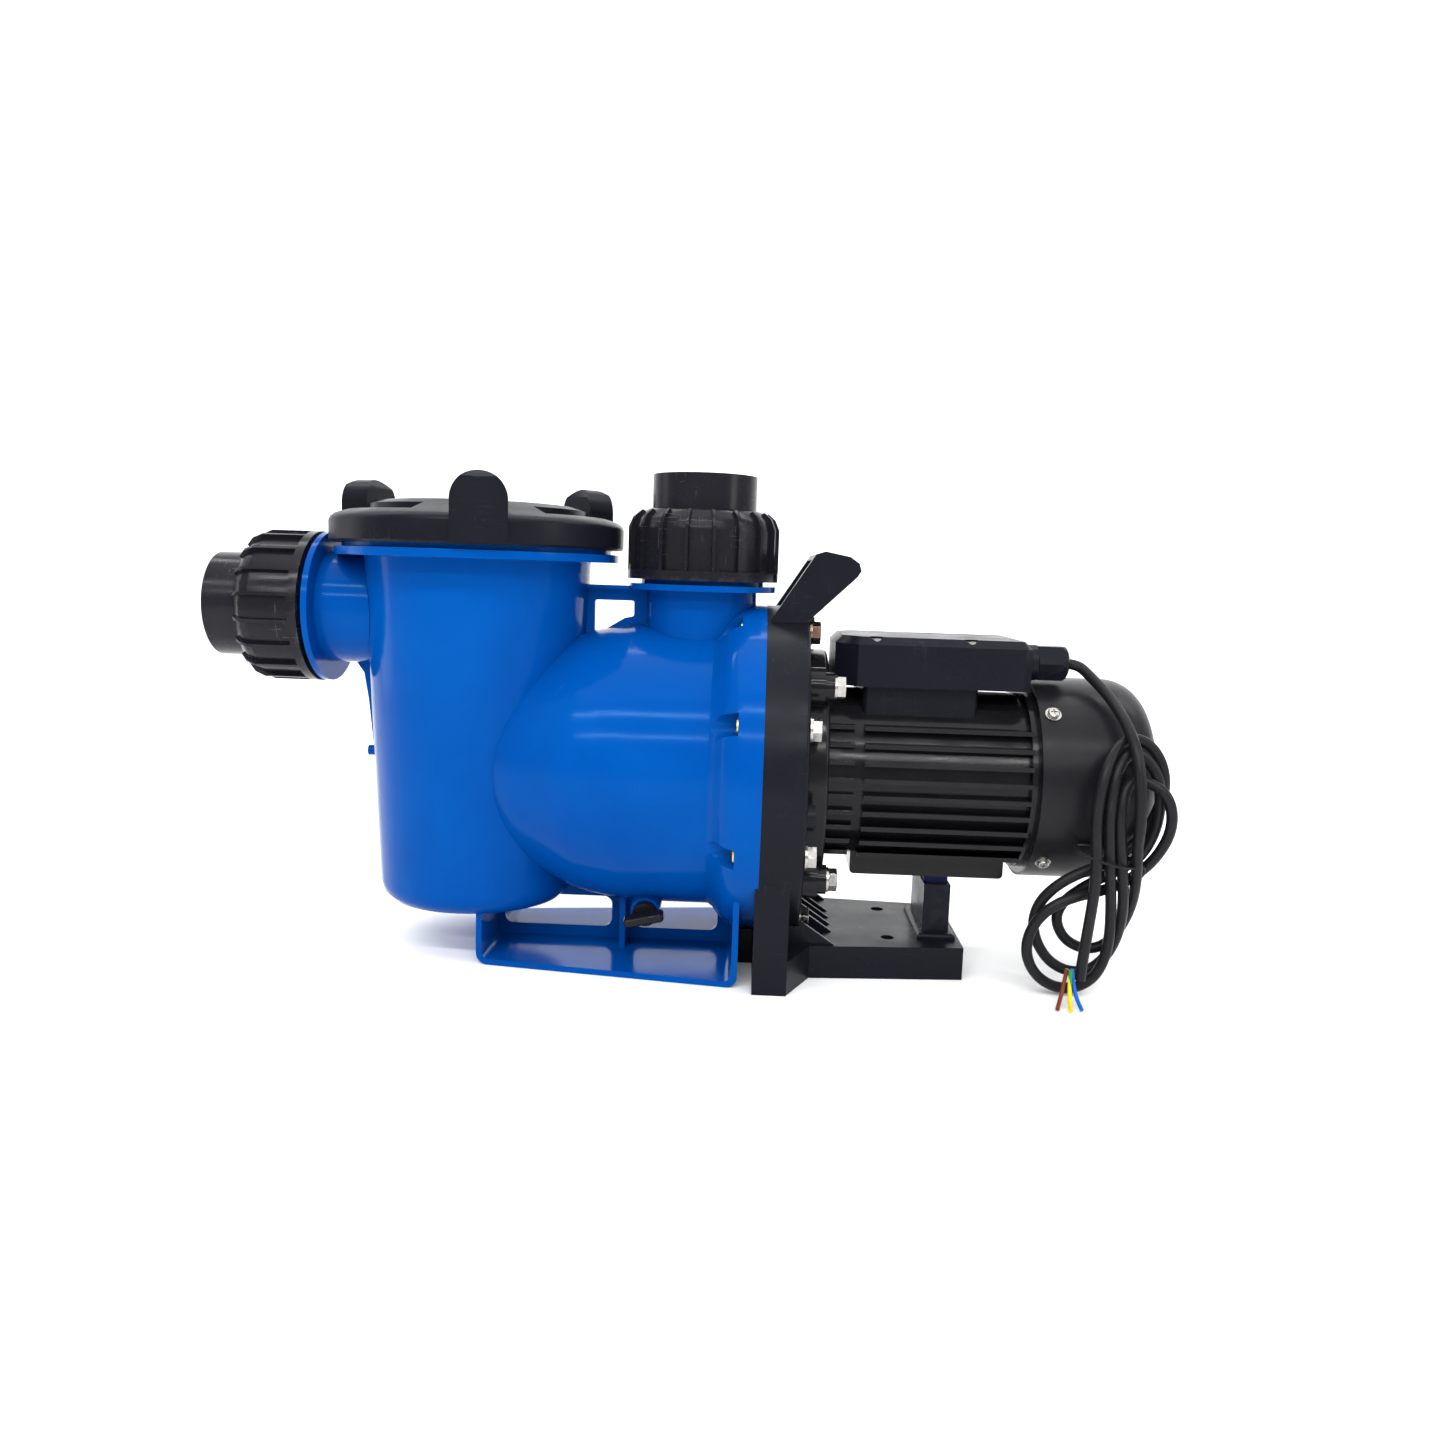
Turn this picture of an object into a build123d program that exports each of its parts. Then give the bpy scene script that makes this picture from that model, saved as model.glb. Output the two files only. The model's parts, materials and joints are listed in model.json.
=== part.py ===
from build123d import *
import os
from math import cos, sin, pi, radians, sqrt, tan

# Self-priming pool pump: strainer pot, volute, seal plate, motor and a tied mains lead.
# Modelled about the shaft axis (X, from suction to fan end) with x = 0 on the joint between the
# volute flange and the seal plate and z = 0 on the shaft axis. Every piece is saved moved so that
# the origin is the middle of the footprint box on the floor.

# ---------------------------------------------------------------- driving dimensions (mm)
AXIS_HEIGHT = 132.0          # shaft axis above the floor
ORIGIN_SHIFT_X = 59.5        # joint plane to the middle of the overall length
FLOOR = -AXIS_HEIGHT

GAP = 0.3                    # working clearance between pieces that move apart
SEAM = 0.03                  # seam between nodes that are one moulding on the real pump

POT_X = -199.0               # strainer pot axis
POT_RADIUS_TOP = 76.4
POT_RADIUS_LOW = 66.6
POT_WALL = 4.5
POT_TOP = 137.0              # underside of the pot's top flange
POT_LOW = -85.0              # end of the tapered wall, start of the rounded bottom
POT_BOTTOM = -101.0
LID_FLANGE_RADIUS = 95.5
LID_FLANGE_TOP = 142.5
COLLAR_RADIUS = 90.5         # threaded collar that the lid ring screws on
COLLAR_BORE = 84.0
COLLAR_TOP = 158.0
BASKET_SEAT = 138.5          # ledge that the basket rim hangs on

SUCTION_Z = 101.0            # suction axis above the shaft axis
SUCTION_FACE = -304.5        # outer face of the suction flange
NECK_RADIUS = 38.0
NECK_BORE = 30.0
UNION_FLANGE_RADIUS = 51.0
UNION_FLANGE = 4.0
DISCHARGE_X = -45.0          # discharge axis
DISCHARGE_FACE = 124.5       # top face of the discharge flange

NUT_RADIUS = 51.5
NUT_LENGTH = 47.0
NUT_OFFSET = 3.0             # flange face to nut
NUT_RIBS = 18
TAIL_RADIUS = 35.5
SOCKET_RADIUS = 30.2         # takes a 60.3 mm pipe
SOCKET_DEPTH = 38.0
TAIL_END = 73.0              # flange face to the end of the tailpiece

VOLUTE_RADIUS = 96.0
CASING_RADIUS = 112.0        # volute flange and seal plate
BOLT_CIRCLE_RADIUS = 104.0
CASING_BOLTS = 8
BOLT_SHANK = 4.0             # M8
BOLT_HOLE = 4.3
BOLT_HEAD_AF = 13.0
BOLT_HEAD = 5.5
WASHER_RADIUS = 8.0
WASHER = 1.6

PLATE = 28.0                 # seal plate thickness
BASE_HOLE = 4.5              # two M8 floor bolts through the motor base
BASE_HOLE_X, BASE_HOLE_Y = 90.0, 33.0
FOOT_HALF_LEFT = 57.0        # blue foot half widths
FOOT_HALF_RIGHT = 83.0
FOOT_LEFT = -187.0
FOOT_RIGHT = -11.5
FOOT_WALL = 4.0
BLOCK_REAR = 20.0            # rear face of the black foot block

MOTOR_FACE = PLATE
MOTOR_FLANGE = 14.0
MOTOR_FLANGE_RADIUS = 83.0
MOTOR_LUG_CIRCLE = 89.0
MOTOR_FRONT = 63.0           # front end of the finned frame
MOTOR_REAR = 179.0           # rear end of the finned frame
BARREL_RADIUS = 57.5
FIN_RADIUS = 64.0
FRAME_BORE = 55.0
FIN_PITCH = 11.0
FINS = 9
FIN_TOP = 36.0
COVER_RADIUS = 69.0          # fan cover
COVER_REAR = 258.5
COVER_WALL = 1.5
COVER_SCREW_X = 186.0

BOX_LEFT, BOX_RIGHT = 65.0, 141.0        # terminal box base
LID_LEFT, LID_RIGHT = 46.0, 174.0        # terminal box cover
BOX_HALF = 38.0
BOX_COVER_HALF = 45.0
BOX_SPLIT = 62.4
BOX_TOP = 95.0
GLAND_Y, GLAND_Z = -22.0, 80.5
GLAND_EXIT = 201.0

CORD_DIAMETER = 7.0
CORE_DIAMETER = 2.6

nodes = {}


# ---------------------------------------------------------------- helpers
def block(x0, x1, y0, y1, z0, z1):
    """A box between two corners."""
    box = Box(x1 - x0, y1 - y0, z1 - z0)
    return Pos((x0 + x1) / 2, (y0 + y1) / 2, (z0 + z1) / 2) * box


def rod_x(radius, x0, x1, y=0.0, z=0.0):
    """A cylinder along X."""
    return Pos((x0 + x1) / 2, y, z) * (Rot(0, 90, 0) * Cylinder(radius, x1 - x0))


def rod_z(radius, z0, z1, x=0.0, y=0.0):
    """A cylinder along Z."""
    return Pos(x, y, (z0 + z1) / 2) * Cylinder(radius, z1 - z0)


def tube_x(outer, inner, x0, x1, y=0.0, z=0.0):
    return rod_x(outer, x0, x1, y, z) - rod_x(inner, x0 - 1, x1 + 1, y, z)


def tube_z(outer, inner, z0, z1, x=0.0, y=0.0):
    return rod_z(outer, z0, z1, x, y) - rod_z(inner, z0 - 1, z1 + 1, x, y)


def turned_x(*outline):
    """A turned solid about X from (x, radius) points."""
    return revolve(make_face(Polyline(*outline, close=True)), Axis.X, 360)


def turned_z(*outline):
    """A turned solid about Z from (radius, z) points."""
    face = Plane.XZ * make_face(Polyline(*outline, close=True))
    return revolve(face, Axis.Z, 360)


def hexagon_x(across_flats, x0, x1):
    """A hexagonal bar along X."""
    face = Plane.YZ.offset(x0) * RegularPolygon(across_flats / 2, 6, major_radius=False)
    return extrude(face, x1 - x0)


def around_x(piece, count, start=0.0):
    """Copies of a piece spaced evenly about the X axis."""
    return [Rot(start + 360 / count * i, 0, 0) * piece for i in range(count)]


def around_z(piece, count, start=0.0):
    """Copies of a piece spaced evenly about the Z axis."""
    return [Rot(0, 0, start + 360 / count * i) * piece for i in range(count)]


def joined(*parts):
    """One solid made of overlapping parts."""
    whole = parts[0]
    for part in parts[1:]:
        whole = whole + part
    return whole


def without(body, *cuts):
    for cut in cuts:
        body = body - cut
    return body


def cord_tube(radius, *route):
    """A tube along straight runs joined by arcs as large as the runs allow."""
    points = [Vector(*point) for point in route]
    radii = []
    for before, here, after in zip(points, points[1:], points[2:]):
        run_in, run_out = here - before, after - here
        turn = radians(run_in.get_angle(run_out))
        radii.append(0.45 * min(run_in.length, run_out.length) / tan(turn / 2))
    path = FilletPolyline(*points, radius=radii)
    section = Plane(path @ 0, z_dir=path % 0) * Circle(radius)
    tube = sweep(section, path)
    share = tube.volume / (pi * radius**2 * path.length)
    print("cord length", round(path.length, 1), "radii", [round(r) for r in radii], "share", round(share, 4))
    return tube


def save(name, piece):
    nodes[name] = piece


# ---------------------------------------------------------------- blue casing
def pot_outer(extra=0.0):
    """The outside of the strainer pot, about its own axis."""
    corner = 14.0
    arc = [
        (POT_RADIUS_LOW - corner + corner * cos(a) + extra, POT_LOW - corner * sin(a) - extra)
        for a in (radians(30), radians(60), radians(90))
    ]
    outline = [(0, POT_TOP), (POT_RADIUS_TOP + extra, POT_TOP), (POT_RADIUS_LOW + extra, POT_LOW)]
    outline += arc + [(0, POT_BOTTOM - extra)]
    return Pos(POT_X, 0, 0) * turned_z(*outline)


def volute_outer(extra=0.0):
    """The outside of the volute without its flange."""
    nose = [
        (-176, 63), (-174, 66.4), (-170, 69), (-164, 72.6), (-157, 75.8), (-148, 79.4), (-140, 83),
        (-132, 86.8), (-126, 89.2), (-118, 91.2), (-105, 93.6), (-89, 96),
    ]
    return turned_x((-176, 0), *[(x, r + extra) for x, r in nose], (0, VOLUTE_RADIUS + extra), (0, 0))


def casing_flare(extra=0.0):
    """The flared bolting flange of the volute as a solid of revolution."""
    flare = [(-34, 96), (-30, 99), (-26, 104.5), (-22, 108.5), (-17, 111), (-12, CASING_RADIUS)]
    outline = [(x - extra, r + extra) for x, r in flare]
    return turned_x((-34 - extra, 0), *outline, (extra, CASING_RADIUS + extra), (extra, 0))


def discharge_outer(extra=0.0):
    return rod_z(37.5 + extra, 0, DISCHARGE_FACE - UNION_FLANGE, DISCHARGE_X)


def make_strainer_pot():
    """Tapered pot with a lid flange, a threaded collar and an outlet towards the volute."""
    taper = (POT_RADIUS_TOP - POT_RADIUS_LOW) / (POT_TOP - POT_LOW)
    bore_top = POT_RADIUS_TOP - POT_WALL
    rim = turned_z(
        (60, POT_TOP), (LID_FLANGE_RADIUS, POT_TOP), (LID_FLANGE_RADIUS, LID_FLANGE_TOP),
        (COLLAR_RADIUS, LID_FLANGE_TOP), (COLLAR_RADIUS, COLLAR_TOP), (60, COLLAR_TOP),
    )
    bore = turned_z(
        (0, COLLAR_TOP + 1), (COLLAR_BORE, COLLAR_TOP + 1), (COLLAR_BORE, BASKET_SEAT),
        (bore_top, BASKET_SEAT), (bore_top - taper * 223, POT_LOW),
        (bore_top - taper * 223 - 8, -94), (0, -96),
    )
    groove = tube_z(89.2, 85.4, COLLAR_TOP - 3.0, COLLAR_TOP + 1)
    body = joined(pot_outer(), Pos(POT_X, 0, 0) * rim)
    pot = without(
        body,
        Pos(POT_X, 0, 0) * bore,
        Pos(POT_X, 0, 0) * groove,
        rod_x(NECK_BORE, -300, POT_X, 0, SUCTION_Z),
        rod_x(34, POT_X, 0),
    )
    save("strainer_pot", pot)


def make_suction_neck():
    """Suction branch with its flange, threaded collar and the gusset under it."""
    tube = joined(
        rod_x(NECK_RADIUS, -301, POT_X, 0, SUCTION_Z),
        rod_x(UNION_FLANGE_RADIUS, SUCTION_FACE, SUCTION_FACE + UNION_FLANGE, 0, SUCTION_Z),
        rod_x(42.0, SUCTION_FACE - 24, SUCTION_FACE + 1, 0, SUCTION_Z),
    )
    gusset_face = make_face(
        Polyline((-288, 68), (-240, 68), (-262, 0), (-272.6, 0), (-276.5, 38), (-279.5, 56), close=True)
    )
    gusset = extrude(Plane.XZ * gusset_face, 2, both=True)
    nub = rod_x(3.6, -277, -262, 0, 1)
    neck = without(
        joined(tube, gusset, nub),
        pot_outer(SEAM),
        rod_z(LID_FLANGE_RADIUS + SEAM, POT_TOP - SEAM, 170, POT_X),
        rod_x(NECK_BORE, SUCTION_FACE - 30, POT_X, 0, SUCTION_Z),
        tube_x(40.0, 36.0, SUCTION_FACE - 25, SUCTION_FACE - 21.6, 0, SUCTION_Z),
    )
    save("suction_neck", neck)


DRAIN_BOSS = 44.0


def drain_axis():
    """Placement of the drain boss: out to the side and slightly down, from inside the volute."""
    return Pos(-74.5, -8, -84) * Rot(102, 0, 0)


def make_volute_casing():
    """Turned volute with a flared bolting flange, insert pockets and a drain boss."""
    inside = turned_x(
        (-171, 0), (-171, 62), (-164, 67.4), (-157, 70.7), (-148, 74.4), (-140, 78), (-126, 84.2),
        (-105, 88.6), (-89, 91), (1, 91), (1, 0),
    )
    pocket = rod_x(7.2, -40, -16, 0, BOLT_CIRCLE_RADIUS)
    pocket = pocket + block(-40, -16, -7.2, 7.2, BOLT_CIRCLE_RADIUS, 120)
    insert_hole = rod_x(6.0, -17, 1, 0, BOLT_CIRCLE_RADIUS)
    boss = drain_axis() * (Pos(0, 0, DRAIN_BOSS / 2) * Cylinder(10.0, DRAIN_BOSS))
    drain = drain_axis() * (Pos(0, 0, DRAIN_BOSS) * Cylinder(6.6, 32))
    leak_path = drain_axis() * (Pos(0, 0, 15) * Cylinder(4.0, 40))
    outlet = rod_z(31.0, 60, 130, DISCHARGE_X)
    shell = without(
        joined(volute_outer(), casing_flare(), boss),
        inside,
        pot_outer(SEAM),
        outlet,
        drain,
        leak_path,
        *around_x(pocket, CASING_BOLTS, 22.5),
        *around_x(insert_hole, CASING_BOLTS, 22.5),
    )
    save("volute_casing", shell)
    insert = tube_x(5.97, BOLT_SHANK + 0.05, -17.0, -0.5, 0, BOLT_CIRCLE_RADIUS)
    save("brass_inserts", Compound(around_x(insert, CASING_BOLTS, 22.5)))


def make_discharge_neck():
    """Discharge branch standing on the volute."""
    neck = joined(
        rod_z(37.5, 40, DISCHARGE_FACE - 1, DISCHARGE_X),
        rod_z(50.0, DISCHARGE_FACE - UNION_FLANGE, DISCHARGE_FACE, DISCHARGE_X),
        rod_z(42.0, DISCHARGE_FACE - 1, DISCHARGE_FACE + 24, DISCHARGE_X),
    )
    neck = without(
        neck,
        volute_outer(SEAM),
        casing_flare(SEAM),
        rod_z(31.0, 30, 160, DISCHARGE_X),
        tube_z(40.0, 36.0, DISCHARGE_FACE + 21.6, DISCHARGE_FACE + 25, DISCHARGE_X),
    )
    save("discharge_neck", neck.solids().sort_by(Axis.Z)[-1])


def make_top_web():
    """Web between pot and discharge branch with a window and a thin cap strip."""
    web = block(-140, DISCHARGE_X, -2, 2, 60, 120)
    strip = block(-140, DISCHARGE_X, -9, 9, 120, 122.4)
    window_face = make_face(
        Polyline((-118.5, 112), (-91.5, 112), (-91.5, 101.5), (-98, 100), (-111, 92), (-118.5, 89),
                 close=True)
    )
    window = fillet(extrude(Plane.XZ * window_face, 6, both=True).edges().filter_by(Axis.Y), 1.5)
    web = without(
        joined(web, strip),
        window,
        pot_outer(SEAM),
        volute_outer(SEAM),
        discharge_outer(SEAM),
        rod_z(50.0 + SEAM, DISCHARGE_FACE - UNION_FLANGE - SEAM, DISCHARGE_FACE + 1, DISCHARGE_X),
    )
    save("top_web", web.solids().sort_by(SortBy.VOLUME)[-1])


def make_pump_foot():
    """Channel foot: floor plate, two end walls, a middle web with windows and a cross rib."""
    plan = make_face(
        Polyline(
            (FOOT_LEFT, -FOOT_HALF_LEFT), (FOOT_RIGHT, -FOOT_HALF_RIGHT),
            (FOOT_RIGHT, FOOT_HALF_RIGHT), (FOOT_LEFT, FOOT_HALF_LEFT), close=True,
        )
    )
    outer = extrude(Pos(0, 0, FLOOR) * plan, 72)
    outer = fillet(outer.edges().filter_by(lambda e: abs(e.center().Z - FLOOR) < 0.1 and
                                           abs(e.tangent_at(0.5).Y) > 0.9), 8)
    inner = block(FOOT_LEFT + FOOT_WALL, FOOT_RIGHT - FOOT_WALL, -120, 120, FLOOR + FOOT_WALL, 0)
    inner = fillet(inner.edges().filter_by(lambda e: abs(e.center().Z - FLOOR - FOOT_WALL) < 0.1 and
                                           abs(e.tangent_at(0.5).Y) > 0.9), 5)
    web = block(FOOT_LEFT + 2, FOOT_RIGHT - 2, -2, 2, FLOOR + 2, -60)
    rib = block(-94.5, -90.5, -25, 25, FLOOR + 2, -60)
    left_window = block(-179, -102.5, -9, 9, -120, -98)
    right_window = block(-86.5, -27, -9, 9, -120, -100)
    windows = [fillet(w.edges().filter_by(Axis.Y), 6) for w in (left_window, right_window)]
    boss_clear = drain_axis() * (Pos(0, 0, 30) * Cylinder(10.05, 60))
    foot = without(
        joined(outer - inner, web, rib),
        *windows,
        pot_outer(SEAM),
        volute_outer(SEAM),
        casing_flare(SEAM),
        boss_clear,
    )
    save("pump_foot", foot.solids().sort_by(SortBy.VOLUME)[-1])


# ---------------------------------------------------------------- unions (made along +Z, then placed)
def union_tailpiece():
    """Solvent socket with the flange that the nut pulls on to the threaded collar."""
    body = joined(
        rod_z(TAIL_RADIUS, 25, TAIL_END),
        rod_z(41.5, 24.2, 34.0),
    )
    return without(
        body,
        rod_z(SOCKET_RADIUS, TAIL_END - SOCKET_DEPTH, TAIL_END + 1),
        rod_z(27.0, 20, TAIL_END),
    )


def union_nut():
    """Ribbed union nut with a smooth collar, open thread bore and a shoulder."""
    low = NUT_OFFSET
    top = low + NUT_LENGTH
    core = turned_z(
        (TAIL_RADIUS + GAP, low), (NUT_RADIUS, low), (NUT_RADIUS, low + 6), (NUT_RADIUS - 3, low + 7),
        (NUT_RADIUS - 3, top - 14), (NUT_RADIUS - 5, top - 7), (NUT_RADIUS - 10, top - 1.5),
        (NUT_RADIUS - 13, top), (TAIL_RADIUS + GAP, top),
    )
    rib_outline = make_face(
        Polyline(
            (40, low + 6), (NUT_RADIUS, low + 6), (NUT_RADIUS, top - 12), (NUT_RADIUS - 3, top - 5),
            (NUT_RADIUS - 8, top - 0.8), (40, top - 3), close=True,
        )
    )
    rib = extrude(Plane.XZ * rib_outline, 1.1, both=True)
    nut = joined(core, *around_z(rib, NUT_RIBS))
    return nut - rod_z(42.0 + GAP, low - 1, 34.0 + GAP)


def union_o_ring():
    return Pos(0, 0, 22.85) * Torus(38.0, 1.22)


def make_unions():
    suction = Pos(SUCTION_FACE, 0, SUCTION_Z) * Rot(0, -90, 0)
    discharge = Pos(DISCHARGE_X, 0, DISCHARGE_FACE)
    for name, place in (("suction", suction), ("discharge", discharge)):
        save(name + "_tailpiece", place * union_tailpiece())
        save(name + "_nut", place * union_nut())
        save(name + "_o_ring", place * union_o_ring())


# ---------------------------------------------------------------- lid and basket
LID_SEAT = 158.5             # underside of the clear lid
RING_LOW = 145.5
RING_RADIUS = 98.6
RING_EDGE = 163.0
LOBE_RADIUS = 101.1          # clear of the suction flange and the discharge nut as the ring turns
LOBES = 3
LOBE_ANGLE = -77.0
RING_TOP = 174.5
RING_OPENING = 61.0


def make_lid():
    place = Pos(POT_X, 0, 0)
    rise, half = 15.0, 60.0
    dome_radius = (half**2 + rise**2) / (2 * rise)
    top_centre = 185.0 - dome_radius
    angles = [radians(i * 27 / 6) for i in range(7)]
    dome_out = [(dome_radius * sin(a), top_centre + dome_radius * cos(a)) for a in angles]
    dome_in = [(r * 0.95, z - 4.5) for r, z in dome_out]
    shoulder = [(79, 163.2), (88, 163.2), (88, LID_SEAT), (76, LID_SEAT)]
    clear = turned_z(*dome_out, *shoulder, *reversed(dome_in))
    save("clear_lid", place * clear)
    save("lid_o_ring", place * (Pos(0, 0, COLLAR_TOP - 3.0 + 1.74) * Torus(87.3, 1.74)))

    slope = (RING_TOP - RING_EDGE) / (RING_RADIUS - RING_OPENING)
    ring = turned_z(
        (RING_RADIUS - 1, RING_LOW), (RING_RADIUS, RING_LOW + 1.5), (RING_RADIUS, RING_EDGE - 3.5),
        (RING_RADIUS - 1.2, RING_EDGE - 1), (RING_RADIUS - 4, RING_EDGE + 4 * slope),
        (RING_OPENING + 2, RING_TOP - 0.5), (RING_OPENING, RING_TOP - 1.5), (RING_OPENING, 172.6),
        (79, 163.5), (88.4, 163.5), (91.0, 162.0), (91.0, RING_LOW),
    )
    slot_face = Plane.XZ * make_face(Polyline((72, 160), (87, 160), (87, 180), (72, 180), close=True))
    slot_arc = 64.0
    slot = Rot(0, 0, -slot_arc / 2) * revolve(slot_face, Axis.Z, slot_arc)
    ring = without(ring, *around_z(slot, LOBES, LOBE_ANGLE + 60))
    ring = joined(ring, *around_z(make_lobe(), LOBES, LOBE_ANGLE))
    save("lid_ring", place * ring)


def make_lobe():
    """Upright grip on the lid ring, pointing out along X."""
    half, low, top = 17.5, RING_LOW + 0.8, 190.0
    profile = make_face(
        Polyline((79, low + 18), (79, top - 6), (84, top), (96, top), (102, top - 5), (102, low), (92, low),
                 close=True)
    )
    lobe = extrude(Plane.XZ * profile, half, both=True)
    inside = turned_z((95.0, low - 1), (95.0, 162.6), (88.0, 164.8), (80.0, 166.2), (0, 168.0), (0, low - 1))
    arch = block(70, 110, -half, half, low - 1, top - half) + rod_x(half, 70, 110, 0, top - half)
    outer = rod_z(LOBE_RADIUS, low - 1, top + 1)
    return (lobe & arch & outer) - inside


def make_basket():
    """Perforated strainer basket with a rim and a fixed carrying bow."""
    place = Pos(POT_X, 0, 0)
    shell = turned_z(
        (0, -88), (56, -88), (60, -84), (69.5, 134), (70.5, BASKET_SEAT + 0.03), (82, BASKET_SEAT + 0.03),
        (82, BASKET_SEAT + 2.6), (68.5, BASKET_SEAT + 2.6), (67.5, 134), (57.6, -83), (55, -85.6),
        (0, -85.6),
    )
    cuts = []
    for row in range(6):
        slots = around_z(block(40, 80, -4.5, 4.5, -9, 9), 14, row % 2 * 12.86)
        cuts += [Pos(0, 0, -68 + row * 25) * slot for slot in slots]
    inlet = rod_x(NECK_BORE, -90, 0, 0, SUCTION_Z)
    bow = Pos(0, 0, 92) * (tube_x(60.0, 56.0, -2.5, 2.5) & block(-5, 5, -70, 70, 0, 70))
    feet = [block(-2.5, 2.5, y - 5.5, y + 5.5, 84, 96) for y in (-61.5, 61.5)]
    save("strainer_basket", place * joined(without(shell, *cuts, inlet), bow, *feet))


def make_drain():
    """Butterfly drain plug in its boss."""
    wing = Rot(0, 0, 14) * fillet(Box(27, 6.5, 10).edges(), 2.5)
    plug = joined(
        Pos(0, 0, DRAIN_BOSS + 2.6) * Cylinder(8.3, 5.0),
        Pos(0, 0, DRAIN_BOSS - 6) * Cylinder(6.3, 14.0),
        Pos(0, 0, DRAIN_BOSS + 9.5) * wing,
    )
    save("drain_plug", drain_axis() * plug)


# ---------------------------------------------------------------- wet end
def make_wet_end():
    shrouds = joined(
        rod_x(64, -12, -9),
        tube_x(64, 22, -29, -26),
        tube_x(25, 22, -38, -28),
        rod_x(14, -26.3, -9),
    )
    vane_face = make_face(
        Polyline((13, 0), (30, 12), (45, 28), (52, 36), (50.5, 38), (43, 30.5), (28.5, 15), (12, 3.5),
                 close=True)
    )
    vane = extrude(Plane.YZ.offset(-26.5) * vane_face, 15)
    impeller = joined(shrouds, *around_x(vane, 6)) - rod_x(7.03, -40, 0)
    save("impeller", impeller)
    save("impeller_nut", hexagon_x(17, -35.5, -26.4) - rod_x(5.03, -36, -26))

    shell = joined(
        tube_x(86, 82, -46, 0),
        tube_x(90.7, 82, -5, 0),
        tube_x(86, 25.3, -46, -42),
        tube_x(29, 25.3, -72, -42),
    )
    guide = block(-43, -6, -1.2, 1.2, 68, 83)
    save("diffuser", joined(shell, *around_x(guide, 8)))

    save("seal_seat", tube_x(14.98, 9.5, 2.0, 8.0))
    save("seal_head", tube_x(13.0, 7.03, -8.7, 1.9))
    save("casing_o_ring", Pos(1.3, 0, 0) * (Rot(0, 90, 0) * Torus(95.0, 1.28)))


# ---------------------------------------------------------------- seal plate, handle and base
def plate_blank():
    disc = rod_x(CASING_RADIUS, 0, PLATE)
    return fillet(disc.edges().group_by(Axis.X)[-1], 2.5)


def make_motor_bracket():
    """Seal plate with its front foot block."""
    foot_block = block(-2, BLOCK_REAR, -93, 93, FLOOR, -62)
    clear = rod_x(CASING_RADIUS + GAP, -25, 0)
    pocket = tube_x(78, 34, 9, PLATE + 1)
    ribs = around_x(block(8, PLATE, -2, 2, 30, 80), 8)
    pocket = without(pocket, *ribs)
    tongue = block(FOOT_RIGHT + SEAM, 0, -33, 33, FLOOR, -108)
    side_boss = rod_x(7.0, PLATE - 1, PLATE + 5, -103.5, -13)
    plate = joined(plate_blank(), without(joined(foot_block, tongue), clear), side_boss)
    bolt_hole = rod_x(BOLT_HOLE, -1, PLATE + 1, 0, BOLT_CIRCLE_RADIUS)
    lug_hole = rod_x(3.4, 12, PLATE + 1, 0, MOTOR_LUG_CIRCLE)
    plate = without(
        plate,
        pocket,
        rod_x(15.0, -1, 8),
        rod_x(9.0, -1, PLATE + 1),
        tube_x(97, 93, -1, 2.6),
        *around_x(bolt_hole, CASING_BOLTS, 22.5),
        *around_x(lug_hole, 4, 45),
    )
    save("motor_bracket", plate)


def make_bracket_handle():
    """Carrying handle leaning back from the top of the seal plate."""
    side = make_face(
        Polyline((2.5, 96), (27, 96), (27, 104), (57, 133), (59.5, 137), (58, 142), (52, 146), (36, 149),
                 (30, 147), (2.5, 104), close=True)
    )
    frame = extrude(Plane.XZ * side, 46, both=True)
    reach = make_face(
        Polyline((-20, 90), (46, 110), (62, 128), (36, 134.5), (30.5, 143), (-20, 150), close=True)
    )
    gap = extrude(Plane.XZ * reach, 34, both=True)
    handle = without(frame, gap, rod_x(CASING_RADIUS + SEAM, -1, PLATE + SEAM))
    save("bracket_handle", handle)


def make_motor_base():
    """Rear foot with gussets and the post that carries the motor."""
    front = BLOCK_REAR + SEAM
    plan = make_face(
        Polyline((front, -92), (36, -58), (139, -50), (139, 50), (36, 58), (front, 92), close=True)
    )
    slab = extrude(Pos(0, 0, FLOOR) * plan, 22)
    under = block(24, 131, -42, 42, FLOOR - 1, FLOOR + 17)
    ribs = [block(23, 132, y - 1.5, y + 1.5, FLOOR + 1.5, FLOOR + 18) for y in (-21, 0, 21)]
    slab = slab - without(under, *ribs)
    post = block(114, 132, -28, 28, FLOOR + 16, -73)
    step = block(110, 136, -34, 34, FLOOR + 16, FLOOR + 26)
    gusset_face = make_face(Polyline((front, -111), (54, -111), (front, -88), close=True))
    gusset = extrude(Plane.XZ * gusset_face, 1.5, both=True)
    gussets = [Pos(0, y, 0) * gusset for y in (-53, -24, -8, 8, 24, 53)]
    base = joined(slab, post, fillet(step.edges().group_by(Axis.Z)[-1], 3), *gussets)
    base = without(
        base,
        rod_x(CASING_RADIUS + SEAM, -1, PLATE + SEAM),
        rod_x(MOTOR_FLANGE_RADIUS + 1.0, PLATE, PLATE + 20),
        *[rod_z(BASE_HOLE, FLOOR - 1, 0, BASE_HOLE_X, y) for y in (-BASE_HOLE_Y, BASE_HOLE_Y)],
    )
    save("motor_base", base.solids().sort_by(SortBy.VOLUME)[-1])
    save("support_pad", fillet(block(115, 131, -22, 22, -72.97, -69.03).edges().filter_by(Axis.Z), 2))


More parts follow.
